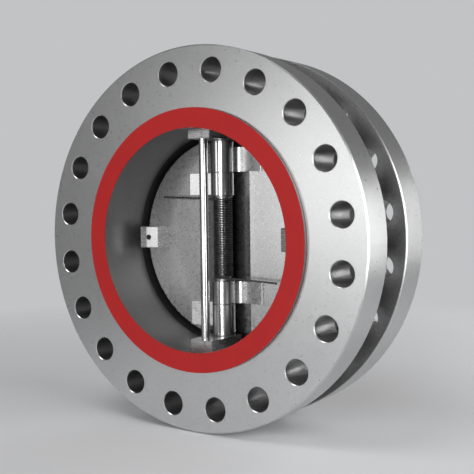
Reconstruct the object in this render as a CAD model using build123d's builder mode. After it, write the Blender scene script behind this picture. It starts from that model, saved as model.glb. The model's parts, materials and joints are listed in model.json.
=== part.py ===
from build123d import *
import os
from math import atan2, degrees, hypot, sqrt

# Double-flanged dual-plate check valve, nominal size 12 inch, pressure class 600.
# Frame: the origin is the centre of the body on the flow axis. +X is to the right seen from the
# outlet, +Y runs from the outlet to the inlet, and +Z is up, along the hinge pin.
# Lengths are in millimetres and angles in degrees.

# Flanges
flange_diameter = 559.0
flange_thickness = 58.0
groove_width = 65.0
hub_diameter = 420.0
hub_fillet = 5.0
flange_chamfer = 2.0
bolt_circle = 489.0
bolt_count = 20
bolt_hole_diameter = 35.0
bolt_hole_chamfer = 1.0
raised_face_diameter = 381.0
raised_face_height = 5.4
facing_thickness = 1.0
same_radius = 0.1  # how near an edge's radius is to the one it is chosen by
cut_overrun = 1.0  # how far a cut, or a bar inside a ring, runs past the surface it meets
face_y = groove_width / 2 + flange_thickness
raised_y = face_y + raised_face_height

# Bore, seat and crossbar
bore_radius = 162.0
port_radius = 138.0
port_taper_length = 34.0
seal_thickness = 6.0
seal_fit = 0.05
seat_y = 20.5
seal_lip_y = -9.5
crossbar_width = 40.0
crossbar_depth = 40.0
crossbar_nose_radius = 15.0
seal_back_y = seat_y + seal_thickness

# Hinge line, parallel to Z at X = 0
hinge_y = -9.5
hinge_pin_radius = 11.0
stop_pin_radius = 6.5
stop_pin_y = -57.7
running_clearance = 0.05
hinge_pin_half_length = 163.5
stop_pin_half_length = 161.0
pin_end_chamfer = 1.0

# Stack of sleeves and washers along the hinge pin, from the middle outwards
spring_half_height = 59.0
spring_washer_start = 61.0
spring_washer_end = 64.4
inner_sleeve_start = 64.6
inner_sleeve_end = 99.1
plate_washer_start = 99.3
plate_washer_end = 99.9
outer_sleeve_start = 100.1
outer_sleeve_end = 146.2
body_washer_start = 146.4
body_washer_end = 147.7
carrier_inner_z = 147.9
sleeve_radius = 17.7
sleeve_chamfer = 0.4
washer_clearance = 0.1
spring_washer_radius = 15.0
spring_washer_chamfer = 0.4
plate_washer_radius = 17.2
plate_washer_chamfer = 0.1
body_washer_radius = 17.5
body_washer_chamfer = 0.2

# Plates
plate_radius = 154.3
plate_half_height = 146.0
plate_edge_x = 2.5
plate_back_y = -1.0
plate_seat_gap = 0.2
plate_rim_chamfer = 1.5
trough_width = 43.4
trough_floor_y = hinge_y + 19.0
plate_front_y = seat_y - plate_seat_gap

# Lugs, in the section across the hinge: a block whose face slopes down from its outer end to a
# hollow fillet, which rises to a narrow land at the sleeve
lug_end_x = 66.5
lug_end_y = -4.9
lug_end_round = 1.2
lug_hollow_x = 28.6
lug_hollow_y = 0.0
lug_land_x = 19.0
lug_land_y = -7.5
lug_saddle_gap = 0.05
lug_embed = 3.0
inner_lug_z = (66.0, 98.9)
outer_lug_z = (100.3, 137.0)

# Bumper blocks
bumper_x = (113.2, 145.4)
bumper_half_height = 17.0
bumper_inner_y = -27.9
bumper_crest_x = 133.3
# the sloped fronts lie in planes through the hinge axis, so they meet flat when the plates are open
bumper_top_y = hinge_y + (bumper_inner_y - hinge_y) * bumper_crest_x / bumper_x[0]
bumper_chamfer = 1.2
bumper_hole_x = 129.4
bumper_hole_radius = 4.35
bumper_screw_radius = 4.2
bumper_screw_length = 24.0
bumper_screw_depth = 11.0
bumper_screw_socket = 2.5
bumper_screw_socket_depth = 6.0
bumper_screw_end_gap = 0.5

# Pin carriers, in slots of the bore wall
slot_half_width = 20.0
slot_radius = 174.0
slot_end_y = 8.5
carrier_gap = 0.2
pin_hole_end_gap = 0.5
carrier_front_y = -69.7
carrier_slit_x = 6.2
carrier_slit_width = 1.0
carrier_slit_height = 10.0
carrier_slit_depth = 3.0
carrier_chamfer = 1.0

# Carrier screws, driven inwards from the groove
carrier_screw_y = -12.0
carrier_screw_radius = 8.0
carrier_screw_clearance = 0.1
carrier_screw_head_radius = 13.0
carrier_screw_seat_z = 198.5
carrier_screw_washer_thickness = 1.5
carrier_screw_head_height = 8.5
carrier_screw_recess_radius = 14.0
carrier_screw_tip_z = 170.0
carrier_screw_socket = 5.5
carrier_screw_socket_depth = 6.0

# Torsion spring
spring_wire_radius = 1.5
spring_mean_radius = 13.4
spring_full_turns = 33
spring_leg_tip_x = 102.5
spring_leg_gap = 0.1


def write(part, name):
    """Label one finished piece and write it as its own node."""
    part.label = name
    export_step(part, f"parts/{name}.step")


def make_body():
    """The barrel: bore, seat, crossbar and raised faces, inside the two flange rings."""
    hub_radius = hub_diameter / 2
    raised_radius = raised_face_diameter / 2
    recess_radius = bore_radius + seal_thickness
    with BuildPart() as body:
        with BuildSketch(Plane.XY):
            with BuildLine():
                Polyline(
                    (bore_radius, -raised_y),
                    (raised_radius, -raised_y),
                    (raised_radius, -face_y),
                    (hub_radius, -face_y),
                    (hub_radius, face_y),
                    (raised_radius, face_y),
                    (raised_radius, raised_y),
                    (bore_radius, raised_y),
                    (port_radius, raised_y - port_taper_length),
                    (port_radius, seal_back_y),
                    (recess_radius, seal_back_y),
                    (recess_radius, seal_lip_y),
                    (bore_radius, seal_lip_y),
                    close=True,
                )
            make_face()
        revolve(axis=Axis.Y)
        # crossbar across the port, with a rounded nose towards the inlet
        with BuildSketch(Plane.XY.offset(-port_radius - cut_overrun)):
            with Locations((0, seal_back_y + crossbar_depth / 2)):
                bar = Rectangle(crossbar_width, crossbar_depth)
            fillet(bar.vertices().group_by(Axis.Y)[-1], crossbar_nose_radius)
        extrude(amount=2 * (port_radius + cut_overrun))
        # slots for the pin carriers, open to the outlet
        with BuildSketch(Plane.XY.offset(-slot_radius)):
            with Locations((0, (slot_end_y - raised_y) / 2)):
                Rectangle(2 * slot_half_width, slot_end_y + raised_y)
        extrude(amount=2 * slot_radius, mode=Mode.SUBTRACT)
        # stepped holes for the carrier screws
        for side in (1, -1):
            outward = Plane(origin=(0, carrier_screw_y, 0), x_dir=(1, 0, 0), z_dir=(0, 0, side))
            with BuildSketch(outward.offset(slot_radius - cut_overrun)):
                Circle(carrier_screw_radius + carrier_screw_clearance)
            extrude(amount=hub_radius - slot_radius + 2 * cut_overrun, mode=Mode.SUBTRACT)
            with BuildSketch(outward.offset(carrier_screw_seat_z)):
                Circle(carrier_screw_recess_radius)
            extrude(amount=hub_radius - carrier_screw_seat_z + cut_overrun, mode=Mode.SUBTRACT)
    write(body.part, "body")


def make_flange(name, side):
    """A thick flange ring round the body. side is -1 at the outlet and 1 at the inlet."""
    flange_radius = flange_diameter / 2
    hub_radius = hub_diameter / 2
    groove_y = groove_width / 2
    arc_x = hub_radius + hub_fillet * (1 - sqrt(0.5))
    arc_y = groove_y - hub_fillet * (1 - sqrt(0.5))
    with BuildPart() as flange:
        with BuildSketch(Plane.XY):
            with BuildLine():
                Polyline(
                    (hub_radius, side * (groove_y - hub_fillet)),
                    (hub_radius, side * face_y),
                    (flange_radius, side * face_y),
                    (flange_radius, side * groove_y),
                    (hub_radius + hub_fillet, side * groove_y),
                )
                ThreePointArc(
                    (hub_radius + hub_fillet, side * groove_y),
                    (arc_x, side * arc_y),
                    (hub_radius, side * (groove_y - hub_fillet)),
                )
            make_face()
        revolve(axis=Axis.Y)
        circles = flange.edges().filter_by(GeomType.CIRCLE)
        chamfer(circles.filter_by(lambda e: abs(e.radius - flange_radius) < same_radius), flange_chamfer)
        # bolt holes, astride the centrelines
        with BuildSketch(Plane.XZ.offset(-side * face_y)):
            with PolarLocations(bolt_circle / 2, bolt_count, start_angle=180 / bolt_count):
                Circle(bolt_hole_diameter / 2)
        extrude(amount=side * flange_thickness, mode=Mode.SUBTRACT)
        rims = flange.edges().filter_by(GeomType.CIRCLE)
        rims = rims.filter_by(lambda e: abs(e.radius - bolt_hole_diameter / 2) < same_radius)
        chamfer(rims.filter_by(lambda e: abs(e.center().Y) > groove_y + flange_thickness / 2),
                bolt_hole_chamfer)
    write(flange.part, name)


def make_seat_seal():
    outer_radius = bore_radius + seal_thickness - seal_fit
    with BuildPart() as seat_seal:
        with BuildSketch(Plane.XY):
            with BuildLine():
                Polyline(
                    (bore_radius, seal_lip_y),
                    (outer_radius, seal_lip_y),
                    (outer_radius, seal_back_y),
                    (port_radius, seal_back_y),
                    (port_radius, seat_y),
                    (bore_radius, seat_y),
                    close=True,
                )
            make_face()
        revolve(axis=Axis.Y)
        # strip along the crossbar, under the plates' straight edges
        with BuildSketch(Plane.XZ.offset(-seal_back_y)):
            Rectangle(crossbar_width, 2 * (port_radius + cut_overrun))
        extrude(amount=seal_thickness)
        # notches that clear the pin carriers
        with BuildSketch(Plane.XY.offset(-slot_radius)):
            with Locations((0, (slot_end_y + seal_lip_y) / 2)):
                Rectangle(2 * slot_half_width, slot_end_y - seal_lip_y)
        extrude(amount=2 * slot_radius, mode=Mode.SUBTRACT)
    write(seat_seal.part, "seat_seal")


def make_facing(name, side):
    """A thin ring on one raised face. side is -1 at the outlet and 1 at the inlet."""
    with BuildPart() as facing:
        with BuildSketch(Plane.XZ.offset(-side * raised_y)):
            Circle(raised_face_diameter / 2)
            Circle(bore_radius, mode=Mode.SUBTRACT)
        extrude(amount=-side * facing_thickness)
    write(facing.part, name)


def make_plate(name, side):
    """One half-disc flap with its two lugs. side is 1 for the right plate, -1 for the left one,
    which is the same casting turned by 180 degrees about the flow axis."""
    plate_thickness = plate_front_y - plate_back_y
    lug_slope = (lug_hollow_x - lug_end_x, lug_hollow_y - lug_end_y)
    with BuildPart() as plate:
        with BuildSketch(Plane.XZ.offset(-plate_front_y)):
            Circle(plate_radius)
            with Locations((plate_edge_x, 0)):
                Rectangle(plate_radius, 2 * plate_half_height, align=(Align.MIN, Align.CENTER),
                          mode=Mode.INTERSECT)
        extrude(amount=plate_thickness)
        back_rim = plate.edges().filter_by(GeomType.CIRCLE).group_by(Axis.Y)[0]
        chamfer(back_rim, plate_rim_chamfer)
        # trough that clears the sleeves and the spring
        with BuildSketch(Plane.XZ.offset(-trough_floor_y)):
            Rectangle(trough_width, 2 * plate_radius, align=(Align.MIN, Align.CENTER))
        extrude(amount=trough_floor_y - plate_back_y + cut_overrun, mode=Mode.SUBTRACT)
        # lugs, which fill the trough up to the plate's outer part
        for low_z, high_z in ((-inner_lug_z[1], -inner_lug_z[0]), outer_lug_z):
            with BuildSketch(Plane.XY.offset(low_z)):
                with BuildLine():
                    Polyline(
                        (lug_land_x, lug_land_y),
                        (plate_edge_x, lug_land_y),
                        (plate_edge_x, trough_floor_y + lug_embed),
                        (lug_end_x, trough_floor_y + lug_embed),
                        (lug_end_x, lug_end_y),
                        (lug_hollow_x, lug_hollow_y),
                    )
                    TangentArc((lug_hollow_x, lug_hollow_y), (lug_land_x, lug_land_y),
                               tangent=lug_slope)
                lug = make_face()
                fillet(lug.vertices().sort_by_distance((lug_end_x, lug_end_y, low_z))[0],
                       lug_end_round)
            extrude(amount=high_z - low_z)
        # saddle for the hinge sleeves
        with BuildSketch(Plane.XY.offset(-plate_radius)):
            with Locations((0, hinge_y)):
                Circle(sleeve_radius + lug_saddle_gap)
        extrude(amount=2 * plate_radius, mode=Mode.SUBTRACT)
        # blind hole for the bumper's screw
        with BuildSketch(Plane.XZ.offset(-plate_back_y)):
            with Locations((bumper_hole_x, 0)):
                Circle(bumper_screw_radius + running_clearance)
        extrude(amount=-bumper_screw_depth, mode=Mode.SUBTRACT)
    write(plate.part if side > 0 else plate.part.rotate(Axis.Y, 180), name)


def make_tube(name, low_z, high_z, inner_radius, outer_radius, edge):
    """A sleeve or washer on the hinge pin, with a small chamfer on its outer edges."""
    with BuildPart() as tube:
        with BuildSketch(Plane.XY.offset(low_z)):
            with Locations((0, hinge_y)):
                Circle(outer_radius)
                Circle(inner_radius, mode=Mode.SUBTRACT)
        extrude(amount=high_z - low_z)
        rims = tube.edges().filter_by(GeomType.CIRCLE)
        chamfer(rims.filter_by(lambda e: abs(e.radius - outer_radius) < same_radius), edge)
    write(tube.part, name)


def make_pin(name, y, radius, half_length):
    with BuildPart() as pin:
        with BuildSketch(Plane.XY.offset(-half_length)):
            with Locations((0, y)):
                Circle(radius)
        extrude(amount=2 * half_length)
        chamfer(pin.edges().filter_by(GeomType.CIRCLE), pin_end_chamfer)
    write(pin.part, name)


def make_carrier(name, side):
    """One block that holds the ends of both pins. side is 1 at the top, -1 at the bottom."""
    half_width = slot_half_width - carrier_gap
    back_y = slot_end_y - carrier_gap
    outer_z = slot_radius - carrier_gap
    # this plane's own Y points to -Y at the bottom, so each Y on it is multiplied by side
    upward = Plane(origin=(0, 0, 0), x_dir=(1, 0, 0), z_dir=(0, 0, side))
    with BuildPart() as carrier:
        with BuildSketch(upward.offset(carrier_inner_z)):
            with Locations((0, side * (back_y + carrier_front_y) / 2)):
                Rectangle(2 * half_width, back_y - carrier_front_y)
        extrude(amount=outer_z - carrier_inner_z)
        front_edges = carrier.faces().sort_by(Axis.Y)[0].edges()
        chamfer(front_edges, carrier_chamfer)
        # blind holes for the pins, and a shallow hole for the screw's tip
        pins = (
            (hinge_y, hinge_pin_radius, hinge_pin_half_length),
            (stop_pin_y, stop_pin_radius, stop_pin_half_length),
        )
        for y, radius, half_length in pins:
            with BuildSketch(upward.offset(carrier_inner_z)):
                with Locations((0, side * y)):
                    Circle(radius + running_clearance)
            extrude(amount=half_length + pin_hole_end_gap - carrier_inner_z, mode=Mode.SUBTRACT)
        with BuildSketch(upward.offset(carrier_screw_tip_z - carrier_gap)):
            with Locations((0, side * carrier_screw_y)):
                Circle(carrier_screw_radius + carrier_screw_clearance)
        extrude(amount=outer_z - carrier_screw_tip_z + cut_overrun, mode=Mode.SUBTRACT)
        # short saw cut in the front face, over the stop pin
        with BuildSketch(Plane.XZ.offset(-carrier_front_y - carrier_slit_depth)):
            with Locations((carrier_slit_x, side * (carrier_inner_z + carrier_slit_height / 2))):
                Rectangle(carrier_slit_width, carrier_slit_height)
        extrude(amount=carrier_slit_depth, mode=Mode.SUBTRACT)
    write(carrier.part, name)


def make_carrier_screws():
    head_z = carrier_screw_seat_z + carrier_screw_washer_thickness
    with BuildPart() as screws:
        for side in (1, -1):
            outward = Plane(origin=(0, carrier_screw_y, 0), x_dir=(1, 0, 0), z_dir=(0, 0, side))
            with BuildSketch(outward.offset(carrier_screw_tip_z)):
                Circle(carrier_screw_radius)
            extrude(amount=head_z - carrier_screw_tip_z)
            with BuildSketch(outward.offset(head_z)):
                Circle(carrier_screw_head_radius)
            extrude(amount=carrier_screw_head_height)
            with BuildSketch(outward.offset(head_z + carrier_screw_head_height)):
                RegularPolygon(carrier_screw_socket, 6)
            extrude(amount=-carrier_screw_socket_depth, mode=Mode.SUBTRACT)
    write(screws.part, "carrier_screws")


def make_screw_washers():
    with BuildPart() as washers:
        for side in (1, -1):
            outward = Plane(origin=(0, carrier_screw_y, 0), x_dir=(1, 0, 0), z_dir=(0, 0, side))
            with BuildSketch(outward.offset(carrier_screw_seat_z)):
                Circle(carrier_screw_head_radius)
                Circle(carrier_screw_radius + carrier_screw_clearance, mode=Mode.SUBTRACT)
            extrude(amount=carrier_screw_washer_thickness)
    write(washers.part, "carrier_screw_washers")


def make_bumper(name, side):
    """One stop block on a plate's outer edge. side is 1 on the right plate, -1 on the left."""
    with BuildPart() as bumper:
        with BuildSketch(Plane.XY.offset(-bumper_half_height)):
            with BuildLine():
                Polyline(
                    (side * bumper_x[0], plate_back_y),
                    (side * bumper_x[0], bumper_inner_y),
                    (side * bumper_crest_x, bumper_top_y),
                    (side * bumper_x[1], bumper_top_y),
                    (side * bumper_x[1], plate_back_y),
                    close=True,
                )
            make_face()
        extrude(amount=2 * bumper_half_height)
        ends = bumper.edges().filter_by(lambda e: abs(e.center().Z) > bumper_half_height - bumper_chamfer)
        chamfer(ends.filter_by(lambda e: e.center().Y < bumper_inner_y), bumper_chamfer)
        with BuildSketch(Plane.XZ.offset(-plate_back_y)):
            with Locations((side * bumper_hole_x, 0)):
                Circle(bumper_hole_radius)
        extrude(amount=plate_back_y - bumper_top_y, mode=Mode.SUBTRACT)
    write(bumper.part, name)


def make_bumper_screw(name, side):
    """A headless socket screw, sunk deep in the bumper's hole."""
    tip_y = plate_back_y + bumper_screw_depth - bumper_screw_end_gap
    with BuildPart() as screw:
        with BuildSketch(Plane.XZ.offset(-tip_y)):
            with Locations((side * bumper_hole_x, 0)):
                Circle(bumper_screw_radius)
        extrude(amount=bumper_screw_length)
        with BuildSketch(Plane.XZ.offset(-tip_y + bumper_screw_length)):
            with Locations((side * bumper_hole_x, 0)):
                RegularPolygon(bumper_screw_socket, 6)
        extrude(amount=-bumper_screw_socket_depth, mode=Mode.SUBTRACT)
    write(screw.part, name)


def make_torsion_spring():
    """Close-wound coil. Each leg leaves the coil as its tangent and reaches a plate's back."""
    tip_height = hinge_y - plate_back_y + spring_wire_radius + spring_leg_gap
    tip_distance = hypot(spring_leg_tip_x, tip_height)
    leg_length = sqrt(tip_distance ** 2 - spring_mean_radius ** 2)
    # angle from straight up (towards the outlet) to the tangent point, seen along the pin
    tip_angle = degrees(atan2(-tip_height, spring_leg_tip_x))
    tangent_angle = 90 - tip_angle - degrees(atan2(leg_length, spring_mean_radius))
    turns = spring_full_turns + 2 * tangent_angle / 360
    pitch = 2 * spring_half_height / turns
    hinge_axis = Axis((0, hinge_y, 0), (0, 0, 1))
    with BuildPart() as spring:
        with BuildLine() as path:
            coil = Helix(
                pitch,
                2 * spring_half_height,
                spring_mean_radius,
                center=(0, hinge_y, -spring_half_height),
                lefthand=True,
            )
            Line(coil @ 0, coil @ 0 - (coil % 0) * leg_length)
            Line(coil @ 1, coil @ 1 + (coil % 1) * leg_length)
        with BuildSketch(Plane(origin=path.wire() @ 0, z_dir=path.wire() % 0)):
            Circle(spring_wire_radius)
        sweep(path=path.wire(), is_frenet=True)
    write(spring.part.rotate(hinge_axis, tangent_angle - 90), "torsion_spring")


os.makedirs("parts", exist_ok=True)
make_body()
make_flange("outlet_flange", -1)
make_flange("inlet_flange", 1)
make_seat_seal()
make_facing("outlet_facing", -1)
make_facing("inlet_facing", 1)
make_pin("hinge_pin", hinge_y, hinge_pin_radius, hinge_pin_half_length)
make_pin("stop_pin", stop_pin_y, stop_pin_radius, stop_pin_half_length)
make_torsion_spring()
make_carrier_screws()
make_screw_washers()
for hand, side in (("right", 1), ("left", -1)):
    make_plate(f"plate_{hand}", side)
    make_bumper(f"bumper_{hand}", side)
    make_bumper_screw(f"bumper_screw_{hand}", side)
    # the right plate has the top outer and the bottom inner sleeve, the left plate the others
    sleeves = (("outer", side, outer_sleeve_start, outer_sleeve_end),
               ("inner", -side, inner_sleeve_start, inner_sleeve_end))
    for place, end, near, far in sleeves:
        low_z, high_z = sorted((end * near, end * far))
        make_tube(f"hinge_sleeve_{hand}_{place}", low_z, high_z,
                  hinge_pin_radius + running_clearance, sleeve_radius, sleeve_chamfer)
for place, side in (("top", 1), ("bottom", -1)):
    make_carrier(f"pin_carrier_{place}", side)
    washers = (("spring_washer", spring_washer_start, spring_washer_end,
                spring_washer_radius, spring_washer_chamfer),
               ("plate_lug_washer", plate_washer_start, plate_washer_end,
                plate_washer_radius, plate_washer_chamfer),
               ("body_lug_washer", body_washer_start, body_washer_end,
                body_washer_radius, body_washer_chamfer))
    for washer, near, far, radius, edge in washers:
        low_z, high_z = sorted((side * near, side * far))
        make_tube(f"{washer}_{place}", low_z, high_z,
                  hinge_pin_radius + washer_clearance, radius, edge)
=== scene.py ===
import json
import math

import bpy
from mathutils import Matrix, Vector


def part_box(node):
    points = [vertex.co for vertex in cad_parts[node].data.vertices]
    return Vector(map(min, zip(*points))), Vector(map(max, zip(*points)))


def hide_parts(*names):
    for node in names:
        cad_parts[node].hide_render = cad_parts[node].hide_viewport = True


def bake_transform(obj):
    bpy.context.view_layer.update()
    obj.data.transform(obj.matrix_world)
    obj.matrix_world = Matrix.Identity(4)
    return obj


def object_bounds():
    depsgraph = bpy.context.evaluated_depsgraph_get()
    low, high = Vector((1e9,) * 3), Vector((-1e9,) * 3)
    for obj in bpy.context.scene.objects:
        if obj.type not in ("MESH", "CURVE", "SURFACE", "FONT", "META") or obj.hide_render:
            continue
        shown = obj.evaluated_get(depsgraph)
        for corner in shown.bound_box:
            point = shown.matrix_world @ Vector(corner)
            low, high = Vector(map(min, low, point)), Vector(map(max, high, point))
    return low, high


# Looks of a double-flanged dual-plate check valve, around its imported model. Lengths are in metres.
# The outlet faces -Y, +X is to the right seen from the outlet, and the hinge pin stands along +Z.

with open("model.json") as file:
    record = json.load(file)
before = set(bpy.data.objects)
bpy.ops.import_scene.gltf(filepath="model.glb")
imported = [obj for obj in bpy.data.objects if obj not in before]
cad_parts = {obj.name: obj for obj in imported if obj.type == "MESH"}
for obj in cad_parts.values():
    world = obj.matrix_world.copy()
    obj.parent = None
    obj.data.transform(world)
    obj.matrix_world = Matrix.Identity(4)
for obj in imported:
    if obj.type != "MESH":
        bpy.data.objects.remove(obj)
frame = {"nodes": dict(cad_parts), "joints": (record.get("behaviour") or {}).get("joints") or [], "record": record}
cad_box = [list(corner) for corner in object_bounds()]
nodes = frame["nodes"]
hinge = Vector(frame["joints"][0]["pos_m"])

SMOOTH_ANGLE = math.radians(32)


# ---------------------------------------------------------------- material helpers

class Shader:
    """A new material with a Principled shader, and short calls that add and link nodes."""

    def __init__(self, name):
        self.material = bpy.data.materials.new(name)
        self.material.use_nodes = True
        self.tree = self.material.node_tree
        self.surface = self.tree.nodes["Principled BSDF"]
        self.place = self.add("ShaderNodeTexCoord").outputs["Object"]

    def add(self, kind, **settings):
        node = self.tree.nodes.new(kind)
        for key, value in settings.items():
            setattr(node, key, value)
        return node

    def put(self, socket, value):
        """Link a socket to an output, or set its value."""
        if isinstance(value, bpy.types.NodeSocket):
            self.tree.links.new(value, socket)
        else:
            socket.default_value = value

    def set(self, **values):
        """Set or link the Principled shader's inputs, named with underscores for spaces."""
        for key, value in values.items():
            self.put(self.surface.inputs[key.replace("_", " ")], value)

    def math(self, operation, a, b=0.0):
        node = self.add("ShaderNodeMath", operation=operation)
        self.put(node.inputs[0], a)
        self.put(node.inputs[1], b)
        return node.outputs[0]

    def scaled_place(self, stretch):
        node = self.add("ShaderNodeMapping")
        self.put(node.inputs["Vector"], self.place)
        node.inputs["Scale"].default_value = stretch
        return node.outputs[0]

    def noise(self, scale, detail=2.0, roughness=0.5, place=None):
        node = self.add("ShaderNodeTexNoise")
        self.put(node.inputs["Vector"], place or self.place)
        node.inputs["Scale"].default_value = scale
        node.inputs["Detail"].default_value = detail
        node.inputs["Roughness"].default_value = roughness
        return node.outputs["Fac"]

    def spread(self, value, low, high, source_low=0.0, source_high=1.0):
        """Map a number from one range to another, clamped."""
        node = self.add("ShaderNodeMapRange")
        self.put(node.inputs["Value"], value)
        node.inputs["From Min"].default_value = source_low
        node.inputs["From Max"].default_value = source_high
        node.inputs["To Min"].default_value = low
        node.inputs["To Max"].default_value = high
        return node.outputs["Result"]

    def past(self, value, edge):
        """0 before a soft edge and 1 after it. The edge is (start, end)."""
        return self.spread(value, 0.0, 1.0, *edge)

    def within(self, value, edge):
        """1 before a soft edge and 0 after it. The edge is (start, end)."""
        return self.spread(value, 1.0, 0.0, *edge)

    def both(self, a, b):
        return self.math("MULTIPLY", a, b)

    def total(self, first, *others):
        """Sum of (value, weight) pairs."""
        result = self.math("MULTIPLY", *first)
        for value, weight in others:
            result = self.math("ADD", result, self.math("MULTIPLY", value, weight))
        return result

    def ramp(self, value, low, high):
        """A colour from a number, between two stops. Each stop is (place, (red, green, blue))."""
        node = self.add("ShaderNodeValToRGB")
        self.put(node.inputs["Fac"], value)
        for element, (at, colour) in zip(node.color_ramp.elements, (low, high)):
            element.position = at
            element.color = (*colour, 1.0)
        return node.outputs["Color"]

    def mix(self, share, a, b):
        """Mix two colours."""
        node = self.add("ShaderNodeMix", data_type="RGBA")
        self.put(node.inputs["Factor"], share)
        self.put(node.inputs["A"], a)
        self.put(node.inputs["B"], b)
        return node.outputs["Result"]

    def bump(self, *layers):
        """Chain height layers, each (height, distance, strength), and link the last normal."""
        normal = None
        for height, distance, strength in layers:
            node = self.add("ShaderNodeBump")
            self.put(node.inputs["Height"], height)
            node.inputs["Distance"].default_value = distance
            node.inputs["Strength"].default_value = strength
            if normal is not None:
                self.put(node.inputs["Normal"], normal)
            normal = node.outputs["Normal"]
        self.set(Normal=normal)

    def axis(self, name):
        node = self.add("ShaderNodeSeparateXYZ")
        self.put(node.inputs[0], self.place)
        return node.outputs[name]

    def radius(self, first, second):
        """Distance from the third axis."""
        a = self.axis(first)
        b = self.axis(second)
        return self.math("SQRT", self.math("ADD", self.both(a, a), self.both(b, b)))


def grey(value, warm=0.0):
    """A grey with a small shift to warm, or to cool when negative."""
    return (value * (1 + warm), value, value * (1 - warm))


# ---------------------------------------------------------------- materials

# Soft edges between two colour zones, each (start, end): finishes, and painted shade in the bore, bolt holes,
# groove, raised-face rim and plate trough. RADIUS is measured from the flow axis, DEPTH along it from the middle
# of the body, and ACROSS sideways from the hinge.
BORE_RADIUS = (0.1622, 0.1632)
BORE_DEPTH = (0.0958, 0.0960)
HOLES_INNER_RADIUS = (0.2240, 0.2255)
HOLES_OUTER_RADIUS = (0.2640, 0.2660)
HOLES_DEPTH = (0.0885, 0.0897)
GROOVE_RADIUS = (0.1935, 0.1945)
GROOVE_DEPTH = (0.0330, 0.0335)
STEP_INNER_RADIUS = (0.1895, 0.1898)
STEP_OUTER_RADIUS = (0.1908, 0.1912)
STEP_DEPTH = (0.0903, 0.0905)
TROUGH_FRONT_DEPTH = (0.0055, 0.0060)
TROUGH_BACK_DEPTH = (0.0110, 0.0115)
TROUGH_ACROSS = (0.0430, 0.0434)


def body_metal():
    """Satin steel casting: machined outside; bore and bolt holes darker, partly a duller finish and partly painted
    shade; groove very dark, partly casting skin and partly painted shade; raised-face rim painted shade.
    """
    s = Shader("satin_cast_steel")
    speckle = s.noise(620, 2, 0.5)
    mottle = s.noise(190, 4, 0.6)
    clouds = s.noise(9, 3)
    tone = s.total((speckle, 0.60), (mottle, 0.15), (clouds, 0.25))
    machined = s.ramp(tone, (0.35, grey(0.53, -0.006)), (0.65, grey(0.63, -0.004)))
    # painted shade: the bore and bolt-hole colours are far darker than the faces, partly a duller real finish and
    # partly standing in for the shade inside them
    dull_bore_and_shade = s.ramp(tone, (0.35, grey(0.19)), (0.65, grey(0.25)))
    drilled_hole_and_shade = s.ramp(tone, (0.35, grey(0.24)), (0.65, grey(0.30)))
    # painted shade: this very dark colour is partly the real casting skin of the hub in the groove and partly the
    # shade that falls between the flanges
    cast_skin_and_shade = s.ramp(s.noise(420, 5, 0.7), (0.25, grey(0.145)), (0.75, grey(0.24)))
    radius = s.radius("X", "Z")
    depth = s.math("ABSOLUTE", s.axis("Y"))
    in_bore = s.both(s.within(radius, BORE_RADIUS), s.within(depth, BORE_DEPTH))
    near_holes = s.both(s.within(radius, HOLES_OUTER_RADIUS), s.past(radius, HOLES_INNER_RADIUS))
    in_hole = s.both(near_holes, s.within(depth, HOLES_DEPTH))
    in_groove = s.both(s.past(radius, GROOVE_RADIUS), s.within(depth, GROOVE_DEPTH))
    # painted shade: the side wall of the raised face under the red facing gets the very dark groove colour,
    # standing in for its shaded dark edge
    near_step = s.both(s.past(radius, STEP_INNER_RADIUS), s.within(radius, STEP_OUTER_RADIUS))
    on_step = s.both(near_step, s.past(depth, STEP_DEPTH))
    colour = s.mix(in_hole, s.mix(in_bore, machined, dull_bore_and_shade), drilled_hole_and_shade)
    colour = s.mix(on_step, colour, cast_skin_and_shade)
    s.set(Base_Color=s.mix(in_groove, colour, cast_skin_and_shade))
    rough = s.math("ADD", s.spread(mottle, 0.27, 0.33, 0.3, 0.7), s.math("MULTIPLY", in_groove, 0.12))
    rough = s.math("ADD", rough, s.math("MULTIPLY", in_bore, 0.10))
    s.set(Metallic=0.95, Roughness=rough)
    s.bump((s.both(s.noise(330, 5, 0.7), in_groove), 0.0008, 0.5), (speckle, 0.00001, 0.5))
    return s.material


def facing_red():
    """Matte red facing rings."""
    s = Shader("red_facing")
    fine = s.noise(900, 4, 0.6)
    clouds = s.noise(22, 3)
    tone = s.total((fine, 0.6), (clouds, 0.4))
    s.set(Base_Color=s.ramp(tone, (0.3, (0.26, 0.0065, 0.0065)), (0.7, (0.32, 0.009, 0.009))))
    s.set(Metallic=0.0, Roughness=s.spread(fine, 0.62, 0.78, 0.3, 0.7), Specular_IOR_Level=0.25)
    s.bump((fine, 0.00012, 0.5))
    return s.material


def seal_rubber():
    """Matte black elastomer."""
    s = Shader("black_rubber")
    fine = s.noise(1100, 4, 0.6)
    clouds = s.noise(35, 3)
    s.set(Base_Color=s.ramp(clouds, (0.3, grey(0.010)), (0.7, grey(0.018))))
    s.set(Roughness=s.spread(fine, 0.48, 0.66, 0.3, 0.7), Specular_IOR_Level=0.4)
    s.bump((fine, 0.00010, 0.5))
    return s.material


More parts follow.
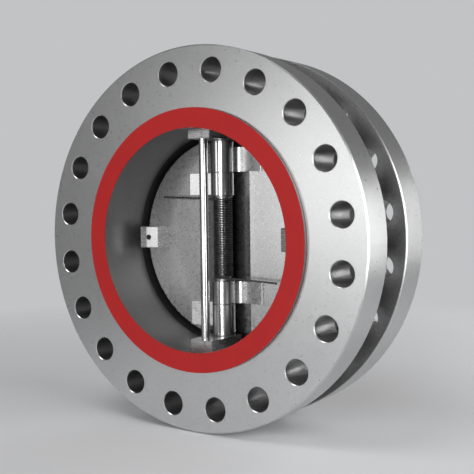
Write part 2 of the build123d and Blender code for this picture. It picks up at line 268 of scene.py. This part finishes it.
def plate_metal():
    """Finely blasted castings: an even satin with a faint sand texture, and painted shade on the floor of the
    trough.
    """
    s = Shader("blasted_plate_steel")
    speckle = s.noise(620, 2, 0.5)
    mottle = s.noise(150, 4, 0.6)
    clouds = s.noise(14, 3)
    tone = s.total((speckle, 0.4), (mottle, 0.2), (clouds, 0.4))
    blasted = s.ramp(tone, (0.35, grey(0.47)), (0.65, grey(0.57)))
    shaded = s.ramp(tone, (0.35, grey(0.12)), (0.65, grey(0.16)))
    # painted shade: the floor of the trough behind the spring gets a much darker colour, standing in for the shade
    # under the spring and the lugs
    depth = s.axis("Y")
    across = s.math("ABSOLUTE", s.axis("X"))
    in_trough = s.both(s.past(depth, TROUGH_FRONT_DEPTH), s.within(depth, TROUGH_BACK_DEPTH))
    in_trough = s.both(in_trough, s.within(across, TROUGH_ACROSS))
    s.set(Base_Color=s.mix(in_trough, blasted, shaded))
    s.set(Metallic=1.0, Roughness=s.spread(mottle, 0.25, 0.31, 0.3, 0.7))
    s.bump((mottle, 0.00003, 0.4), (speckle, 0.00001, 0.5))
    return s.material


def milled_metal(name, tone):
    """Milled blocks, with faint parallel cutter marks."""
    s = Shader(name)
    marks = s.noise(60, 3, 0.5, s.scaled_place((1.0, 1.0, 28.0)))
    fine = s.noise(900, 2, 0.5)
    blend = s.total((marks, 0.4), (fine, 0.6))
    s.set(Base_Color=s.ramp(blend, (0.3, grey(tone * 0.95)), (0.7, grey(tone * 1.04))))
    s.set(Metallic=0.92, Roughness=s.spread(marks, 0.22, 0.30, 0.3, 0.7))
    s.bump((marks, 0.00003, 0.5))
    return s.material


def polished_metal():
    """Ground and polished stainless, with hair-fine rings round the pin's axis."""
    s = Shader("polished_stainless")
    rings = s.noise(90, 3, 0.6, s.scaled_place((0.4, 0.4, 22.0)))
    smear = s.noise(55, 3, 0.5)
    s.set(Base_Color=s.ramp(smear, (0.3, grey(0.58, -0.003)), (0.7, grey(0.66, -0.003))))
    s.set(Metallic=1.0, Roughness=s.spread(rings, 0.13, 0.20, 0.3, 0.7))
    s.bump((rings, 0.00003, 0.35))
    return s.material


def dark_metal(name, tone, rough):
    """Dull dark metal, slightly smeared."""
    s = Shader(name)
    smear = s.noise(160, 4, 0.6)
    s.set(Base_Color=s.ramp(smear, (0.3, grey(tone * 0.75, 0.01)), (0.7, grey(tone * 1.25))))
    s.set(Metallic=0.95, Roughness=s.spread(smear, rough - 0.06, rough + 0.08, 0.3, 0.7))
    s.bump((s.noise(900, 3, 0.6), 0.00005, 0.4))
    return s.material


def copper_metal():
    """Soft copper sealing washers."""
    s = Shader("soft_copper")
    smear = s.noise(120, 4, 0.6)
    s.set(Base_Color=s.ramp(smear, (0.3, (0.50, 0.23, 0.13)), (0.7, (0.70, 0.36, 0.22))))
    s.set(Metallic=1.0, Roughness=s.spread(smear, 0.28, 0.42, 0.3, 0.7))
    return s.material


finishes = {
    "body": body_metal(),
    "facing": facing_red(),
    "seal": seal_rubber(),
    "plate": plate_metal(),
    "bumper": milled_metal("milled_bumper", 0.52),
    "carrier": milled_metal("milled_carrier", 0.54),
    "polished": polished_metal(),
    "washer": dark_metal("ground_washer_steel", 0.30, 0.30),
    "spring": dark_metal("dark_spring_alloy", 0.10, 0.30),
    "screw": dark_metal("blackened_screw_steel", 0.16, 0.38),
    "copper": copper_metal(),
}
for entry in frame["record"]["subparts"]:
    node = nodes[entry["node"]]
    node.data.materials.clear()
    node.data.materials.append(finishes[entry["material_slot"]])
    node.data.shade_smooth()
    node.data.set_sharp_from_angle(angle=SMOOTH_ANGLE)


# ---------------------------------------------------------------- torsion spring

WIRE_RADIUS = 0.0015
COIL_RADIUS = 0.0134
COIL_HALF_HEIGHT = 0.0590
COIL_TURNS = 33
LEG_TIP_X = 0.1025
LEG_GAP = 0.0001
WIRE_SIDES = 12
STEPS_PER_TURN = 48
LEG_STEPS = 30
WIRE_SMOOTH_ANGLE = math.radians(50)


def coil_point(turn, tangent_angle):
    """Point of the coil's centreline, turn being counted from its middle."""
    angle = math.pi / 2 - math.tau * turn
    half_turns = COIL_TURNS / 2 + tangent_angle / math.tau
    height = COIL_HALF_HEIGHT * turn / half_turns
    return Vector((COIL_RADIUS * math.cos(angle), COIL_RADIUS * math.sin(angle), height))


def wire_mesh(name, centreline):
    """A round wire along a list of points, with rounded-off closed ends."""
    verts = []
    faces = []
    for i, point in enumerate(centreline):
        before = centreline[max(i - 1, 0)]
        after = centreline[min(i + 1, len(centreline) - 1)]
        forward = (after - before).normalized()
        across = forward.cross(Vector((0, 0, 1))).normalized()
        upward = across.cross(forward)
        for k in range(WIRE_SIDES):
            turn = math.tau * k / WIRE_SIDES
            verts.append(point + WIRE_RADIUS * (math.cos(turn) * across + math.sin(turn) * upward))
    for i in range(len(centreline) - 1):
        for k in range(WIRE_SIDES):
            a = i * WIRE_SIDES + k
            b = i * WIRE_SIDES + (k + 1) % WIRE_SIDES
            faces.append((a, a + WIRE_SIDES, b + WIRE_SIDES, b))
    last = (len(centreline) - 1) * WIRE_SIDES
    faces.append(tuple(range(WIRE_SIDES)))
    faces.append(tuple(last + k for k in reversed(range(WIRE_SIDES))))
    mesh = bpy.data.meshes.new(name)
    mesh.from_pydata(verts, [], faces)
    mesh.update()
    return mesh


def spring_half(name, side):
    """Half of the coil and its leg, the leg reaching out to one flap. side is 1 for the upper half."""
    base = Vector((hinge.x, hinge.y, 0))
    plate_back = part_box("bumper_left")[1].y
    tip_height = hinge.y - plate_back + WIRE_RADIUS + LEG_GAP
    leg_length = math.sqrt(LEG_TIP_X ** 2 + tip_height ** 2 - COIL_RADIUS ** 2)
    tangent_angle = math.atan2(tip_height, LEG_TIP_X) + math.pi / 2 - math.atan2(leg_length, COIL_RADIUS)
    end_turn = COIL_TURNS / 2 + tangent_angle / math.tau
    steps = round(end_turn * STEPS_PER_TURN)
    line = [coil_point(side * end_turn * i / steps, tangent_angle) for i in range(steps + 1)]
    direction = (line[-1] - line[-2]).normalized()
    start = line[-1]
    line += [start + direction * leg_length * i / LEG_STEPS for i in range(1, LEG_STEPS + 1)]
    line = [base + point for point in line]
    half = bpy.data.objects.new(name, wire_mesh(name, line))
    bpy.context.scene.collection.objects.link(half)
    half.data.materials.append(finishes["spring"])
    half.data.shade_smooth()
    half.data.set_sharp_from_angle(angle=WIRE_SMOOTH_ANGLE)
    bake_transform(half)
    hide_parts("torsion_spring")


spring_half("spring_upper_half", 1)
spring_half("spring_lower_half", -1)


# ---------------------------------------------------------------- floor, background and lights

scene = bpy.context.scene
scene.view_settings.view_transform = "Standard"

BACKGROUND = (0.535, 0.545, 0.555)
REFLECTED = (0.80, 0.80, 0.80)
REFLECTED_STRENGTH = 0.18
FLOOR_COLOUR = (0.60, 0.61, 0.62)
FLOOR_RADIUS = 2.0
FLOOR_SIDES = 96
FLOOR_FADE = (0.45, 1.5)
FLOOR_GAP = 0.0005
LIGHT_DISTANCE = 3.2


def make_world():
    """Pale to the camera and dimmer in reflections, so that the metal keeps its contrast."""
    world = bpy.data.worlds.new("studio")
    world.use_nodes = True
    tree = world.node_tree
    tree.nodes.clear()
    output = tree.nodes.new("ShaderNodeOutputWorld")
    mixer = tree.nodes.new("ShaderNodeMixShader")
    path = tree.nodes.new("ShaderNodeLightPath")
    pale = tree.nodes.new("ShaderNodeBackground")
    pale.inputs["Color"].default_value = (*BACKGROUND, 1)
    dim = tree.nodes.new("ShaderNodeBackground")
    dim.inputs["Color"].default_value = (*REFLECTED, 1)
    dim.inputs["Strength"].default_value = REFLECTED_STRENGTH
    tree.links.new(path.outputs["Is Camera Ray"], mixer.inputs["Fac"])
    tree.links.new(dim.outputs[0], mixer.inputs[1])
    tree.links.new(pale.outputs[0], mixer.inputs[2])
    tree.links.new(mixer.outputs[0], output.inputs["Surface"])
    scene.world = world


def make_floor():
    """A wide pale disc that fades out at its rim, so that no horizon line shows."""
    height = cad_box[0][2] - FLOOR_GAP
    turns = [math.tau * i / FLOOR_SIDES for i in range(FLOOR_SIDES)]
    verts = [(FLOOR_RADIUS * math.cos(turn), FLOOR_RADIUS * math.sin(turn), height) for turn in turns]
    mesh = bpy.data.meshes.new("floor")
    mesh.from_pydata(verts, [], [tuple(range(FLOOR_SIDES))])
    floor = bpy.data.objects.new("floor", mesh)
    scene.collection.objects.link(floor)
    s = Shader("pale_floor")
    s.set(Base_Color=(*FLOOR_COLOUR, 1), Roughness=0.9, Specular_IOR_Level=0.1)
    clear = s.add("ShaderNodeBsdfTransparent")
    fade = s.add("ShaderNodeMixShader")
    s.put(fade.inputs["Fac"], s.past(s.radius("X", "Y"), FLOOR_FADE))
    s.put(fade.inputs[1], s.surface.outputs[0])
    s.put(fade.inputs[2], clear.outputs[0])
    output = s.tree.nodes["Material Output"]
    s.put(output.inputs["Surface"], fade.outputs[0])
    mesh.materials.append(s.material)


def soft_light(name, azimuth, elevation, size, power):
    """A square softbox aimed at the valve. Azimuth 0 is in front of the outlet, 90 to its right."""
    data = bpy.data.lights.new(name, "AREA")
    data.shape = "SQUARE"
    data.size = size
    data.energy = power
    light = bpy.data.objects.new(name, data)
    out = math.cos(math.radians(elevation))
    place = LIGHT_DISTANCE * Vector((
        out * math.sin(math.radians(azimuth)),
        -out * math.cos(math.radians(azimuth)),
        math.sin(math.radians(elevation)),
    ))
    light.location = place
    light.rotation_mode = "QUATERNION"
    light.rotation_quaternion = (-place).to_track_quat("-Z", "Y")
    scene.collection.objects.link(light)


make_world()
make_floor()
soft_light("front", azimuth=8, elevation=8, size=2.0, power=84)
soft_light("front_left", azimuth=-25, elevation=2, size=0.9, power=4.8)
soft_light("right", azimuth=84, elevation=7, size=2.9, power=115)
soft_light("back_right", azimuth=133, elevation=3, size=1.6, power=26)
soft_light("back", azimuth=180, elevation=2, size=0.9, power=92)
soft_light("above", azimuth=-20, elevation=62, size=1.5, power=30)


# ---------------------------------------------------------------- camera

CAMERA_AZIMUTH = math.radians(33.94)
CAMERA_ELEVATION = math.radians(2.82)
CAMERA_ROLL = math.radians(-0.69)
CAMERA_DISTANCE = 1.2713
CAMERA_TARGET = Vector((0.0189, 0.0, 0.0014))
CAMERA_LENS = 63.58
SENSOR_WIDTH = 36.0


def make_camera():
    back = Vector((
        math.sin(CAMERA_AZIMUTH) * math.cos(CAMERA_ELEVATION),
        -math.cos(CAMERA_AZIMUTH) * math.cos(CAMERA_ELEVATION),
        math.sin(CAMERA_ELEVATION),
    ))
    data = bpy.data.cameras.new("camera")
    data.lens = CAMERA_LENS
    data.sensor_width = SENSOR_WIDTH
    camera = bpy.data.objects.new("camera", data)
    camera.location = CAMERA_TARGET + back * CAMERA_DISTANCE
    aim = (-back).to_track_quat("-Z", "Y").to_matrix()
    camera.rotation_mode = "QUATERNION"
    camera.rotation_quaternion = (aim @ Matrix.Rotation(CAMERA_ROLL, 3, "Z")).to_quaternion()
    scene.collection.objects.link(camera)
    scene.camera = camera


make_camera()
